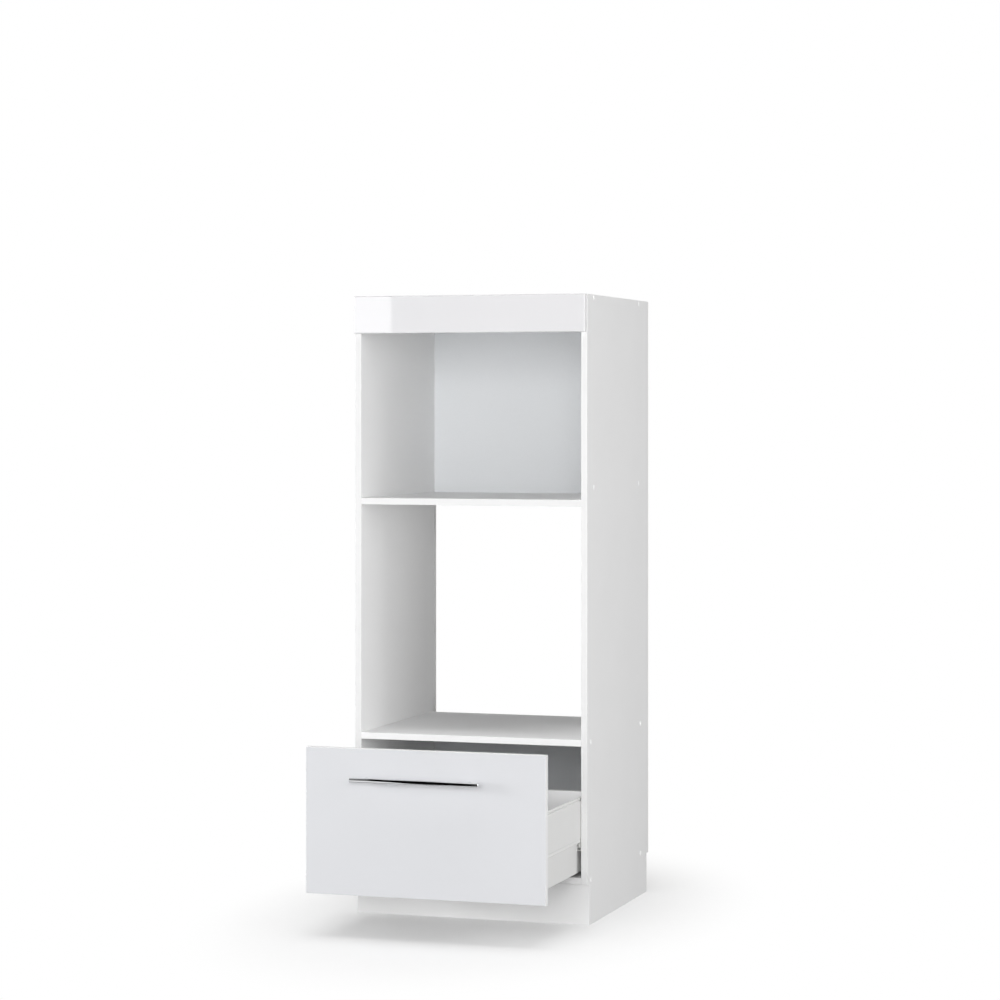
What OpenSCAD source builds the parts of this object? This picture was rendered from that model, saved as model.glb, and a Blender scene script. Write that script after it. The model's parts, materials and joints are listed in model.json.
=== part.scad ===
// Tall kitchen cabinet for a built-in microwave and oven, with one deep drawer at the bottom.
// The drawer stands open as it is first drawn. Its steel sides run on nylon rollers.
// Frame: X across the width, Y into the depth, Z up from the floor. The origin lies under the middle of
// the front plinth board. The modules draw from the front edges of the side panels, and in_frame() moves
// what they draw so that it stands on that origin.

/* [Carcass] */
// Width over both side panels
body_w = 600; // [560:1:800]
// Height from the floor to the top
body_h = 1530; // [1480:1:1700]
// Depth of the side panels
body_d = 560; // [540:1:620]
// Thickness of every laminated board
board_t = 16; // [16:0.5:19]
// Rounding of the banded front edges of the boards
edge_r = 0.8; // [0.4:0.1:1.5]
// Height of the plinth, up to the underside of the bottom panel
plinth_h = 100; // [80:1:120]
// Setback of the plinth boards from the front edges and from the rear edges
plinth_recess = 16; // [10:1:30]
// Clear height of the drawer bay
drawer_bay_h = 318; // [310:1:340]
// Clear height of the oven niche
oven_niche_h = 565; // [540:1:580]
// Gap for warm air between the rear edge of the oven shelf and the rear edge of the sides
vent_depth = 40; // [25:1:60]

/* [Back panels] */
// Thickness of the hardboard backs
back_t = 3.2; // [2.5:0.1:4]
// Distance from the front face of the backs to the rear edge of the sides
back_setback = 13; // [10:0.5:18]
// Depth of the grooves that hold the backs
groove_depth = 8; // [5:0.5:9]
// Play of a back in its groove, on each face
groove_play = 0.15; // [0.1:0.05:0.3]
// How far the lower back stands above the underside of the oven shelf
lower_back_rise = 8; // [0:1:12]

/* [Fascia] */
// Height of the glossy board across the top
fascia_h = 92; // [70:1:110]
// Thickness of the fascia
fascia_t = 16; // [16:0.5:19]
// Rounding of the front edges of the fascia
fascia_r = 2.5; // [1:0.1:4]
// Reveal that is left at each side of the fascia and of the drawer front
reveal = 2; // [1:0.5:4]

/* [Drawer front] */
// Height of the drawer front
front_h = 348; // [330:1:360]
// Thickness of the drawer front
front_t = 16; // [16:0.5:19]
// Gap between the top of the plinth and the lower edge of the drawer front
front_lift = 2.5; // [1:0.5:6]
// Rounding of the edges of the drawer front
front_r = 1.2; // [0.6:0.1:3]
// How far the drawer stands open at rest, from the front edges to the back of its front
rest_open = 317; // [200:1:325]
// Thickness of the bumpers on the back of the front
bumper_t = 1.5; // [1:0.1:3]
// Radius of a bumper
bumper_r = 5; // [3:0.5:6]

/* [Handle] */
// Length of the handle bar
handle_len = 320; // [200:1:400]
// Diameter of the handle bar
handle_d = 12; // [8:0.5:16]
// Distance between the two posts
post_pitch = 256; // [160:1:320]
// Diameter of a post
post_d = 9; // [7:0.5:12]
// Distance from the front to the axis of the bar
handle_standoff = 29; // [22:1:40]
// Height of the bar below the top edge of the front
handle_drop = 72; // [40:1:120]
// Sideways shift of the handle from the middle of the front
handle_shift = -16; // [-40:1:40]
// Diameter of the screws that hold the posts
handle_screw_d = 4; // [3:0.5:5]

/* [Drawer box] */
// Length of the steel drawer sides and of the runners
slide_len = 450; // [400:10:500]
// Height of the drawer box
box_h = 184; // [160:1:200]
// Gap between the bottom panel of the cabinet and the drawer box
box_lift = 11; // [6:0.5:20]
// Height of the single lower wall of a side, up to the track that rides on the roller
track_h = 74.5; // [60:0.5:90]
// Thickness of the sheet steel of the drawer sides
sheet_t = 1.2; // [0.8:0.1:1.5]
// Running gap between the outer skin of a side and the cabinet
skin_gap = 1.5; // [1:0.1:3]
// Gap between the lower wall of a side and the cabinet, where the runner lies
runner_gap = 11; // [10.8:0.1:13]
// Width of the bottom flange that carries the drawer bottom
flange_w = 14; // [10:0.5:20]
// Radius of the bend below the outer skin
bend_r = 2; // [1.3:0.1:2.5]
// Radius of the bead along the top of a side
bead_r = 3.5; // [3:0.1:4.5]
// Gap under the bead, where the two skins meet in its neck
bead_gap = 1; // [0.6:0.1:2]
// Radius of the shoulders over the two skins
shoulder_r = 2.5; // [1.8:0.1:3.5]
// Radius of the cove along the foot of the outer skin
cove_r = 9; // [7:0.5:12]
// Depth of the cove
cove_in = 0.9; // [0.4:0.1:1.2]
// Height of the middle of the cove above the track
cove_rise = 7; // [7:0.5:20]
// Thickness of the drawer bottom board
bottom_t = 16; // [12:0.5:18]
// Thickness of the drawer back board
drawer_back_t = 16; // [12:0.5:19]
// Gap between the drawer boards and the steel sides
board_gap = 0.3; // [0.2:0.05:0.5]
// Thickness of the brackets inside the drawer
bracket_t = 1.5; // [1:0.1:2]

/* [Runners and rollers] */
// Thickness of the sheet of the runners
runner_t = 1.2; // [1:0.1:1.5]
// Setback of the runners from the front edges
runner_setback = 2; // [1:0.5:5]
// Diameter of the rollers
roller_d = 15; // [12:0.5:16]
// Width of the rollers
roller_w = 5.5; // [4:0.1:5.6]
// Distance from the cabinet side to the outer face of a roller
roller_out = 3.6; // [3.4:0.1:4]
// Diameter of the axle pins
axle_d = 4; // [3:0.5:5]
// Clearance between roller and track, above and below
roll_gap = 0.3; // [0.2:0.05:0.4]
// Radial clearance of a roller on its axle
axle_fit = 0.05; // [0.03:0.01:0.1]
// Distance from the front end of a runner to its roller axle
front_axle_in = 12; // [10:0.5:20]
// Distance from the rear end of a drawer side to its roller axle
rear_axle_in = 15; // [12:0.5:25]
// Gap between the underside of the drawer track and the top flange of the runner
flange_gap = 1.5; // [1:0.1:3]
// Farthest travel of the drawer from closed
full_travel = 343.4; // [330:0.1:350]
// Height of the lug that stops the rear roller
stop_h = 3; // [2:0.5:4]

/* [Fixings] */
// Radial clearance of screws, dowels and bolts in their holes
fit_gap = 0.1; // [0.05:0.01:0.2]
// Length of the long screws through the sides
confirmat_len = 50; // [40:1:60]
// Diameter of a long screw's collar
confirmat_d = 6.8; // [6:0.1:7]
// Diameter of a screw cap
cap_d = 12; // [10:0.5:15]
// Height of a screw cap above the side panel
cap_h = 1; // [0.6:0.1:2]
// Distance from the front edges to the front screws of the top panel and microwave shelf
upper_row_y = 57; // [40:1:80]
// Distance between the front and rear screws of that row
upper_row_pitch = 412; // [380:1:430]
// Distance from the front edges to the front screws of the oven shelf and bottom panel
lower_row_y = 33; // [25:1:60]
// Distance between the front and rear screws of that row
lower_row_pitch = 452; // [400:1:470]
// Height of the spare holes above the underside of the microwave shelf
spare_rise = 45; // [30:1:80]
// Diameter of the wooden dowels
dowel_d = 8; // [6:1:10]
// Length of the wooden dowels
dowel_len = 30; // [24:1:35]
// Distance from a screw to the dowel beside it
dowel_step = 64; // [32:1:96]
// Distance from the end of the microwave shelf to the axis of its cam locks
cam_reach = 34; // [24:1:40]
// Diameter of the cam locks
cam_d = 15; // [12:1:18]
// Diameter of the small chipboard screws
small_screw_d = 3.5; // [3:0.5:4]
// Length of the small chipboard screws
small_screw_len = 13; // [10:0.5:14]
// Leg length of the angle brackets
angle_leg = 20; // [16:1:30]
// Width of the angle brackets
angle_w = 16; // [12:1:24]
// Thickness of the angle brackets
angle_t = 2; // [1.5:0.1:3]

/* [Hidden] */
$fn = 48;

eps = 0.01;
cut = 1;
origin_y = plinth_recess + board_t / 2;

// Levels and planes of the carcass
half_w = body_w / 2;
inner_x = half_w - board_t;
bay_z = plinth_h + board_t;
oven_shelf_z = bay_z + drawer_bay_h;
oven_z = oven_shelf_z + board_t;
microwave_shelf_z = oven_z + oven_niche_h;
top_z = body_h - board_t;
back_y = body_d - back_setback;
oven_shelf_d = body_d - vent_depth;
spare_z = microwave_shelf_z + spare_rise;
plinth_back_y = plinth_recess + board_t;

// Screw rows in the side panels
upper_rows = [upper_row_y, upper_row_y + upper_row_pitch];
lower_rows = [lower_row_y, lower_row_y + lower_row_pitch];
upper_dowels = [upper_row_y + dowel_step, upper_row_y + upper_row_pitch - dowel_step];
lower_dowels = [lower_row_y + dowel_step, lower_row_y + lower_row_pitch - dowel_step];
// Each entry: height of the board's middle, rows of its screws
screwed_boards = [
    [top_z + board_t / 2, upper_rows],
    [oven_shelf_z + board_t / 2, lower_rows],
    [plinth_h + board_t / 2, lower_rows]];
// Each entry: height of the board's middle, rows of its dowels
doweled_boards = [
    [top_z + board_t / 2, upper_dowels],
    [microwave_shelf_z + board_t / 2, upper_dowels],
    [oven_shelf_z + board_t / 2, lower_dowels],
    [plinth_h + board_t / 2, lower_dowels]];

// Long screw: head, collar and core
confirmat_head_d = 10;
confirmat_head_h = 3;
confirmat_rim = 1;
confirmat_core_d = 5;
confirmat_taper = 1;
confirmat_tip = 4;
// Room beyond the end of a long screw or a dowel in its hole
end_room = 1;
socket_d = 4.6;
socket_h = 2.5;
cap_rim = 0.3;
peg_play = 0.2;
plug_stem = 9;
spare_depth = 12;
dowel_in_side = 12;
dowel_chamfer = 1;
bolt_in_side = 11;
bolt_thread_d = 5;
bolt_shank_d = 6;
bolt_neck_d = 3.5;
bolt_head_d = 6.5;
bolt_head_len = 3;
bolt_play = 1;
bolt_collar_d = 8;
cam_h = 12.5;
cam_floor = 0.5;

// Levels of the drawer, seen from the cabinet
box_z = bay_z + box_lift;
track_z = box_z + track_h;
box_top = box_z + box_h;
front_z = plinth_h + front_lift;
front_w = body_w - 2 * reveal;
box_y = -rest_open;
box_rear = box_y + slide_len;
wall_x = inner_x - runner_gap;
inside_x = wall_x - sheet_t;
skin_x = inner_x - skin_gap;
skin_w = skin_x - inside_x;
bead_x = inside_x + skin_w / 2;
shoulder_z = box_top - 2 * bead_r - bead_gap;
floor_z = box_z + sheet_t;
floor_top = floor_z + bottom_t;

// Levels of a runner
roller_r = roller_d / 2;
flange_top = track_z - flange_gap;
rear_axle_z = flange_top - runner_t - roll_gap - roller_r;
lower_flange_top = rear_axle_z - roller_r - roll_gap;
runner_bottom = lower_flange_top - runner_t;
front_axle_z = track_z - roll_gap - roller_r;
front_axle_y = runner_setback + front_axle_in;
rear_axle_y = box_rear - rear_axle_in;
roller_room = 4;
top_flange_y = front_axle_y + roller_r + roller_room;
flange_over = 0.3;
flange_reach = roller_out + roller_w + flange_over;
lip_t = 1;
lip_h = 1.5;
lip_x = inner_x - flange_reach - lip_t;
stop_t = 1.5;
// Where the rear roller stands with the drawer right out
rear_axle_out_y = rear_axle_y - (full_travel - (rest_open - bumper_t));
stop_reach = sqrt(roller_r * roller_r - pow(roller_r + roll_gap - stop_h, 2));
stop_y = rear_axle_out_y - stop_reach - roll_gap - stop_t;
// The rows of runner screws start from the front edges and stop short of the runner's rear end
hole_line_y = 37;
hole_line_pitch = 128;
runner_end_room = 18;
runner_screw_rows = [hole_line_y : hole_line_pitch : runner_setback + slide_len - runner_end_room];
axle_head_d = 6.4;
axle_head_h = 0.8;
head_play = 0.1;
head_room = 0.5;
shoulder_d = 7;
side_play = 0.2;
roller_chamfer = 0.6;

// Small screw
small_hole_d = small_screw_d + 2 * fit_gap;
screw_head_d = 7;
screw_face_d = 5;
screw_head_h = 1.4;
screw_tip = 2;
screw_point_d = 1;

// Cross slots of the small screws, the cam locks and the handle screws: length, width and depth
screw_slot = [3.2, 0.7, 0.8];
cam_slot = [7, 1.2, 1.6];
handle_slot = [4, 0.8, 1];

// Fixings of the drawer
bracket_rise = 6;
bracket_z = floor_top + bracket_rise;
bracket_leg = 34;
bracket_screw_in = 20;
bracket_screw_pitch = 50;
front_bracket_h = 130;
front_bracket_tail = 42;
rear_bracket_drop = 20;
rear_bracket_h = box_top - rear_bracket_drop - bracket_z;
rear_bracket_tail = 33;
bracket_screw_x = inside_x - bracket_screw_in;
bottom_screw_x = inside_x - flange_w / 2;
bumper_in = 7.5;
bumper_drop = 32;
drawer_back_drop = 1;
handle_z = front_z + front_h - handle_drop;
handle_y = box_y - front_t - handle_standoff;
spigot_d = 5;
spigot_len = 3;
spigot_root = 2;
handle_chamfer = 0.8;
handle_thread = 9;
handle_screw_len = front_t + handle_thread;
handle_head_d = 8;
handle_head_h = 2.4;
bottom_screw_in = 40;
bottom_screw_rows = [bottom_screw_in, slide_len / 2, slide_len - bottom_screw_in];

// Angle brackets: place of each on the fascia and the plinths
fascia_bracket_x = 150;
fascia_bracket_drop = 62;
plinth_bracket_z = 42;

// Moves what is drawn from the front edges onto the origin
module in_frame() {
    translate([0, -origin_y, 0]) children();
}

// Puts what is drawn for the right side on the left
module on_side(side) {
    mirror([side < 0 ? 1 : 0, 0, 0]) children();
}

// Runs a flat outline, drawn as X and Z, along Y
module along_y(from, length) {
    translate([0, from + length, 0]) rotate([90, 0, 0]) linear_extrude(length) children();
}

// Runs a flat outline, drawn as Y and Z, along X
module along_x(from, length) {
    translate([from, 0, 0]) rotate([90, 0, 90]) linear_extrude(length) children();
}

// A round bar from a point towards +X
module rod_x(x, y, z, d, length) {
    translate([x, y, z]) rotate([0, 90, 0]) cylinder(d = d, h = length);
}

// A round bar from a point towards +Y
module rod_y(x, y, z, d, length) {
    translate([x, y + length, z]) rotate([90, 0, 0]) cylinder(d = d, h = length);
}

// A slab's outline whose two corners at the front, y = 0, are rounded
module soft_edge(width, depth, r) {
    translate([r, 0]) square([width - 2 * r, depth]);
    translate([0, r]) square([width, depth - r]);
    for (x = [r, width - r]) translate([x, r]) circle(r);
}

// A board that lies flat: its front edge is rounded above and below
module flat_board(width, depth, z) {
    translate([-width / 2, 0, 0])
        along_x(0, width)
            translate([0, z]) mirror([1, -1]) soft_edge(board_t, depth, edge_r);
}

// A board that stands upright, with all four front edges rounded
module upright_front(width, thickness, height, r) {
    intersection() {
        linear_extrude(height) soft_edge(width, thickness, r);
        along_x(0, width) mirror([1, -1]) soft_edge(height, thickness, r);
    }
}

// ---- Carcass ----

module side_outline() {
    difference() {
        square([body_d, body_h]);
        translate([-cut, -cut]) square([plinth_back_y + cut, plinth_h + cut]);
        translate([body_d - plinth_back_y, -cut]) square([plinth_back_y + cut, plinth_h + cut]);
    }
}

// Right side panel, with every hole that its fixings need
module side_panel() {
    difference() {
        intersection() {
            along_x(inner_x, board_t) side_outline();
            translate([inner_x, 0, 0]) linear_extrude(body_h) soft_edge(board_t, body_d, edge_r);
        }
        translate([inner_x - cut, back_y - groove_play, plinth_h - cut])
            cube([groove_depth + cut, back_t + 2 * groove_play, body_h]);
        for (board = screwed_boards, y = board[1]) {
            rod_x(inner_x - cut, y, board[0], confirmat_d + 2 * fit_gap, board_t + 2 * cut);
            rod_x(half_w - confirmat_head_h, y, board[0], confirmat_head_d + 2 * fit_gap,
                confirmat_head_h + cut);
        }
        for (y = upper_rows) {
            rod_x(half_w - spare_depth, y, spare_z, confirmat_d + 2 * fit_gap, spare_depth + cut);
            rod_x(inner_x - cut, y, microwave_shelf_z + board_t / 2, bolt_thread_d + 2 * fit_gap,
                bolt_in_side + cut);
        }
        for (board = doweled_boards, y = board[1])
            rod_x(inner_x - cut, y, board[0], dowel_d + 2 * fit_gap, dowel_in_side + cut);
        for (y = runner_screw_rows)
            rod_x(inner_x - cut, y, rear_axle_z, small_hole_d, small_screw_len - runner_t + cut);
        for (spot = side_bracket_spots())
            rod_x(inner_x - cut, spot[0] + spot[2] * angle_leg / 2, spot[1], small_hole_d,
                small_screw_len - angle_t + cut);
    }
}

module side_left() {
    color("white") in_frame() on_side(-1) side_panel();
}

module side_right() {
    color("white") in_frame() on_side(1) side_panel();
}

// Holes in both ends of a board between the sides
module end_holes(z, rows, d, depth) {
    for (side = [-1, 1], y = rows)
        on_side(side) rod_x(inner_x - depth, y, z, d + 2 * fit_gap, depth + cut);
}

module groove(z) {
    translate([-half_w, back_y - groove_play, z])
        cube([body_w, back_t + 2 * groove_play, groove_depth + cut]);
}

confirmat_in_board = confirmat_len - board_t;
dowel_in_board = dowel_len - dowel_in_side;

module top_panel() {
    color("white") in_frame() difference() {
        flat_board(2 * inner_x, body_d, top_z);
        groove(top_z - cut);
        end_holes(top_z + board_t / 2, upper_rows, confirmat_core_d, confirmat_in_board);
        end_holes(top_z + board_t / 2, upper_dowels, dowel_d, dowel_in_board);
        for (side = [-1, 1])
            translate([side * fascia_bracket_x, angle_leg / 2, top_z - cut])
                cylinder(d = small_hole_d, h = small_screw_len - angle_t + cut);
    }
}

module microwave_shelf() {
    color("white") in_frame() difference() {
        flat_board(2 * inner_x, back_y, microwave_shelf_z);
        end_holes(microwave_shelf_z + board_t / 2, upper_rows, bolt_collar_d,
            cam_reach - cam_d / 2 + cut);
        end_holes(microwave_shelf_z + board_t / 2, upper_dowels, dowel_d, dowel_in_board);
        for (side = [-1, 1], y = upper_rows)
            translate([side * (inner_x - cam_reach), y, microwave_shelf_z - cut])
                cylinder(d = cam_d + 2 * fit_gap, h = cam_h + cam_floor + cut);
    }
}

module oven_shelf() {
    color("white") in_frame() difference() {
        flat_board(2 * inner_x, oven_shelf_d, oven_shelf_z);
        end_holes(oven_shelf_z + board_t / 2, lower_rows, confirmat_core_d, confirmat_in_board);
        end_holes(oven_shelf_z + board_t / 2, lower_dowels, dowel_d, dowel_in_board);
    }
}

module bottom_panel() {
    color("white") in_frame() difference() {
        flat_board(2 * inner_x, body_d, plinth_h);
        groove(bay_z - groove_depth);
        end_holes(plinth_h + board_t / 2, lower_rows, confirmat_core_d, confirmat_in_board);
        end_holes(plinth_h + board_t / 2, lower_dowels, dowel_d, dowel_in_board);
    }
}

// A plinth board covers the notched edges of the sides. The drawing is the front one.
module plinth_board() {
    difference() {
        translate([-half_w, plinth_recess, 0]) upright_front(body_w, board_t, plinth_h, edge_r);
        for (side = [-1, 1])
            rod_y(side * (inner_x - angle_leg / 2), plinth_back_y - small_screw_len + angle_t,
                plinth_bracket_z, small_hole_d, small_screw_len - angle_t + cut);
    }
}

module plinth_front() {
    color("whitesmoke") in_frame() plinth_board();
}

module plinth_rear() {
    color("whitesmoke") in_frame() translate([0, body_d, 0]) mirror([0, 1, 0]) plinth_board();
}

// A hardboard back, held in the side grooves
module back_panel(z_low, z_high) {
    reach = inner_x + groove_depth - fit_gap;
    translate([-reach, back_y, z_low]) cube([2 * reach, back_t, z_high - z_low]);
}

module upper_back() {
    color("ghostwhite") in_frame() back_panel(microwave_shelf_z, top_z + groove_depth - fit_gap);
}

module lower_back() {
    color("ghostwhite") in_frame()
        back_panel(bay_z - groove_depth + fit_gap, oven_shelf_z + lower_back_rise);
}

module fascia() {
    color("white") in_frame() difference() {
        translate([-front_w / 2, -fascia_t, body_h - fascia_h])
            upright_front(front_w, fascia_t, fascia_h, fascia_r);
        for (side = [-1, 1]) {
            rod_y(side * fascia_bracket_x, -(small_screw_len - angle_t), top_z - angle_leg / 2,
                small_hole_d, small_screw_len - angle_t + cut);
            rod_y(side * (inner_x - angle_leg / 2), -(small_screw_len - angle_t),
                body_h - fascia_bracket_drop, small_hole_d,
                small_screw_len - angle_t + cut);
        }
    }
}

// ---- Fixings of the carcass ----

// Brackets on a side panel: front or rear plane, height, and the way that the leg on the side points
function side_bracket_spots() = [
    [0, body_h - fascia_bracket_drop, 1],
    [plinth_back_y, plinth_bracket_z, 1],
    [body_d - plinth_back_y, plinth_bracket_z, -1]];

// An angle with a leg along +Y and a leg along -X, its corner at the origin and its width along Z
module angle_bracket() {
    difference() {
        translate([0, 0, -angle_w / 2]) linear_extrude(angle_w) {
            translate([-angle_t, 0]) square([angle_t, angle_leg]);
            translate([-angle_leg, 0]) square([angle_leg, angle_t]);
        }
        rod_x(-angle_t - cut, angle_leg / 2, 0, small_hole_d, angle_t + 2 * cut);
        rod_y(-angle_leg / 2, -cut, 0, small_hole_d, angle_t + 2 * cut);
    }
}

// The two screws of one bracket
module angle_screws() {
    translate([-angle_t, angle_leg / 2, 0]) rotate([0, 90, 0]) small_screw();
    translate([-angle_leg / 2, angle_t, 0]) rotate([90, 0, 0]) small_screw();
}

// A cross slot that is cut upwards from z = 0
module cross_slot(slot) {
    for (turn = [0, 90])
        rotate([0, 0, turn]) translate([-slot[0] / 2, -slot[1] / 2, -cut])
            cube([slot[0], slot[1], slot[2] + cut]);
}

// A small screw: its head lies below z = 0 and its point reaches up
module small_screw() {
    cylinder(d = small_screw_d, h = small_screw_len - screw_tip);
    translate([0, 0, small_screw_len - screw_tip])
        cylinder(d1 = small_screw_d, d2 = screw_point_d, h = screw_tip - fit_gap);
    translate([0, 0, -screw_head_h]) difference() {
        cylinder(d1 = screw_face_d, d2 = screw_head_d, h = screw_head_h);
        cross_slot(screw_slot);
    }
}

// Puts children at each angle bracket of the carcass
module at_brackets() {
    for (side = [-1, 1]) on_side(side) {
        for (spot = side_bracket_spots())
            translate([inner_x, spot[0], spot[1]]) mirror([0, spot[2] < 0 ? 1 : 0, 0]) children();
        translate([fascia_bracket_x, 0, top_z]) rotate([0, -90, 0]) children();
    }
}

module angle_brackets() {
    color("silver") in_frame() at_brackets() angle_bracket();
}

module bracket_screws() {
    color("silver") in_frame() at_brackets() angle_screws();
}

// A long screw that points towards -X, its head flush with z = 0 of its own frame
module confirmat() {
    screw_end = confirmat_len - end_room;
    difference() {
        rotate_extrude() polygon([
            [0, 0], [confirmat_head_d / 2, 0], [confirmat_head_d / 2, confirmat_rim],
            [confirmat_d / 2, confirmat_head_h], [confirmat_d / 2, board_t - confirmat_taper],
            [confirmat_core_d / 2, board_t], [confirmat_core_d / 2, screw_end - confirmat_tip],
            [confirmat_core_d / 2 - confirmat_taper, screw_end], [0, screw_end]]);
        translate([0, 0, -cut]) cylinder(d = socket_d, h = socket_h + cut, $fn = 6);
    }
}

module confirmat_screws() {
    color("silver") in_frame() for (side = [-1, 1], board = screwed_boards, y = board[1])
        on_side(side) translate([half_w, y, board[0]]) rotate([0, -90, 0]) confirmat();
}

// The visible disc of a cap or a plug, raised above the panel
module cap_disc() {
    round_r = cap_h - cap_rim;
    rotate_extrude() {
        square([cap_d / 2, cap_rim]);
        square([cap_d / 2 - round_r, cap_h]);
        intersection() {
            translate([cap_d / 2 - round_r, cap_rim]) circle(round_r);
            square([cap_d / 2, cap_h]);
        }
    }
}

module screw_caps() {
    color("white") in_frame() for (side = [-1, 1], board = screwed_boards, y = board[1])
        on_side(side) translate([half_w, y, board[0]]) rotate([0, 90, 0]) {
            cap_disc();
            translate([0, 0, peg_play - socket_h])
                cylinder(d = socket_d - 2 * peg_play, h = socket_h, $fn = 6);
        }
}

module spare_hole_plugs() {
    color("white") in_frame() for (side = [-1, 1], y = upper_rows)
        on_side(side) translate([half_w, y, spare_z]) rotate([0, 90, 0]) {
            cap_disc();
            translate([0, 0, -plug_stem]) cylinder(d = confirmat_d, h = plug_stem + cap_h / 2);
        }
}

// A wooden dowel along X, with chamfered ends
module dowel() {
    length = dowel_len - end_room;
    rotate([0, 90, 0]) rotate_extrude() polygon([
        [0, 0], [dowel_d / 2 - dowel_chamfer, 0], [dowel_d / 2, dowel_chamfer],
        [dowel_d / 2, length - dowel_chamfer], [dowel_d / 2 - dowel_chamfer, length], [0, length]]);
}

module dowels() {
    color("burlywood") in_frame() for (side = [-1, 1], board = doweled_boards, y = board[1])
        on_side(side) translate([inner_x - dowel_in_board + end_room / 2, y, board[0]]) dowel();
}

// A cam bolt that starts in the side panel and points towards -X
module cam_bolts() {
    color("silver") in_frame() for (side = [-1, 1], y = upper_rows)
        on_side(side) translate([inner_x, y, microwave_shelf_z + board_t / 2]) rotate([0, -90, 0]) {
            translate([0, 0, end_room / 2 - bolt_in_side])
                cylinder(d = bolt_thread_d, h = bolt_in_side - end_room / 2);
            cylinder(d = bolt_shank_d, h = cam_reach - cam_d / 2);
            translate([0, 0, cam_reach - cam_d / 2]) cylinder(d = bolt_neck_d, h = cam_d / 2);
            translate([0, 0, cam_reach - bolt_head_len]) cylinder(d = bolt_head_d, h = bolt_head_len);
        }
}

// A cam lock: a drum that is open towards the bolt, with a cross slot below
module cam_lock() {
    difference() {
        cylinder(d = cam_d, h = cam_h);
        rod_x(-bolt_play, 0, board_t / 2, bolt_head_d + 2 * bolt_play, bolt_head_len + 2 * bolt_play);
        rod_x(0, 0, board_t / 2, bolt_neck_d + 2 * bolt_play, cam_d);
        cross_slot(cam_slot);
    }
}

module cam_locks() {
    color("gray") in_frame() for (side = [-1, 1], y = upper_rows)
        on_side(side) translate([inner_x - cam_reach, y, microwave_shelf_z]) cam_lock();
}

// ---- Runners on the cabinet ----

// Right runner: a web on the cabinet side, a lower flange that carries the rear roller, a top flange
module runner() {
    difference() {
        union() {
            along_y(runner_setback, slide_len) {
                translate([inner_x - runner_t, runner_bottom])
                    square([runner_t, flange_top - runner_bottom]);
                translate([lip_x, runner_bottom]) square([inner_x - lip_x, runner_t]);
                translate([lip_x, runner_bottom]) square([lip_t, runner_t + lip_h]);
            }
            along_y(top_flange_y, runner_setback + slide_len - top_flange_y)
                translate([inner_x - flange_reach, flange_top - runner_t])
                    square([flange_reach, runner_t]);
            translate([inner_x - roller_out - roller_w, stop_y, lower_flange_top - eps])
                cube([roller_w, stop_t, stop_h + eps]);
        }
        for (y = runner_screw_rows)
            rod_x(inner_x - runner_t - cut, y, rear_axle_z, small_hole_d, runner_t + 2 * cut);
        rod_x(inner_x - runner_t - cut, front_axle_y, front_axle_z, axle_d + 2 * fit_gap,
            runner_t + 2 * cut);
    }
}

module runner_left() {
    color("white") in_frame() on_side(-1) runner();
}

module runner_right() {
    color("white") in_frame() on_side(1) runner();
}

module runner_screws() {
    color("silver") in_frame() for (side = [-1, 1], y = runner_screw_rows)
        on_side(side) translate([inner_x - runner_t, y, rear_axle_z]) rotate([0, 90, 0]) small_screw();
}

// A roller with its middle at the origin and its axis along X. The counterbore takes the axle's head.
module roller(head_side) {
    bore_d = axle_d + 2 * axle_fit;
    difference() {
        rotate([0, 90, 0]) rotate_extrude() polygon([
            [bore_d / 2, -roller_w / 2], [roller_r - roller_chamfer, -roller_w / 2],
            [roller_r, -roller_w / 2 + roller_chamfer], [roller_r, roller_w / 2 - roller_chamfer],
            [roller_r - roller_chamfer, roller_w / 2], [bore_d / 2, roller_w / 2]]);
        translate([head_side > 0 ? roller_w / 2 - axle_head_h - head_play : -roller_w / 2 - cut, 0, 0])
            rotate([0, 90, 0])
                cylinder(d = axle_head_d + 2 * head_room, h = axle_head_h + head_play + cut);
    }
}

roller_x = inner_x - roller_out - roller_w / 2;

module front_roller(side) {
    on_side(side) translate([roller_x, front_axle_y, front_axle_z]) roller(-1);
}

module front_roller_left() {
    color("white") in_frame() front_roller(-1);
}

module front_roller_right() {
    color("white") in_frame() front_roller(1);
}

// Pin, shoulder and head of an axle. It starts at its carrier and runs towards +X of its own frame.
module axle(carrier_t, shoulder_len) {
    pin_len = shoulder_len + roller_w - axle_head_h;
    rotate([0, 90, 0]) {
        translate([0, 0, -carrier_t]) cylinder(d = axle_d, h = carrier_t + pin_len + axle_head_h / 2);
        cylinder(d = shoulder_d, h = shoulder_len - side_play);
        translate([0, 0, pin_len]) cylinder(d = axle_head_d, h = axle_head_h);
    }
}

module front_axles() {
    color("silver") in_frame() for (side = [-1, 1])
        on_side(side) translate([inner_x - runner_t, front_axle_y, front_axle_z])
            mirror([1, 0, 0]) axle(runner_t, roller_out - runner_t);
}

// ---- Drawer ----

module drawer_front() {
    color("white") in_frame() difference() {
        translate([-front_w / 2, box_y - front_t, front_z])
            upright_front(front_w, front_t, front_h, front_r);
        for (side = [-1, 1])
            rod_y(handle_shift + side * post_pitch / 2, box_y - front_t - cut, handle_z,
                handle_screw_d + 2 * fit_gap, front_t + 2 * cut);
        for (side = [-1, 1], z = bracket_rows(front_bracket_h))
            rod_y(side * bracket_screw_x, box_y - (small_screw_len - bracket_t), z,
                small_hole_d, small_screw_len - bracket_t + cut);
    }
}

module front_bumpers() {
    color("lightgray") in_frame() for (side = [-1, 1])
        rod_y(side * (half_w - bumper_in), box_y, front_z + front_h - bumper_drop, 2 * bumper_r,
            bumper_t);
}

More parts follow.
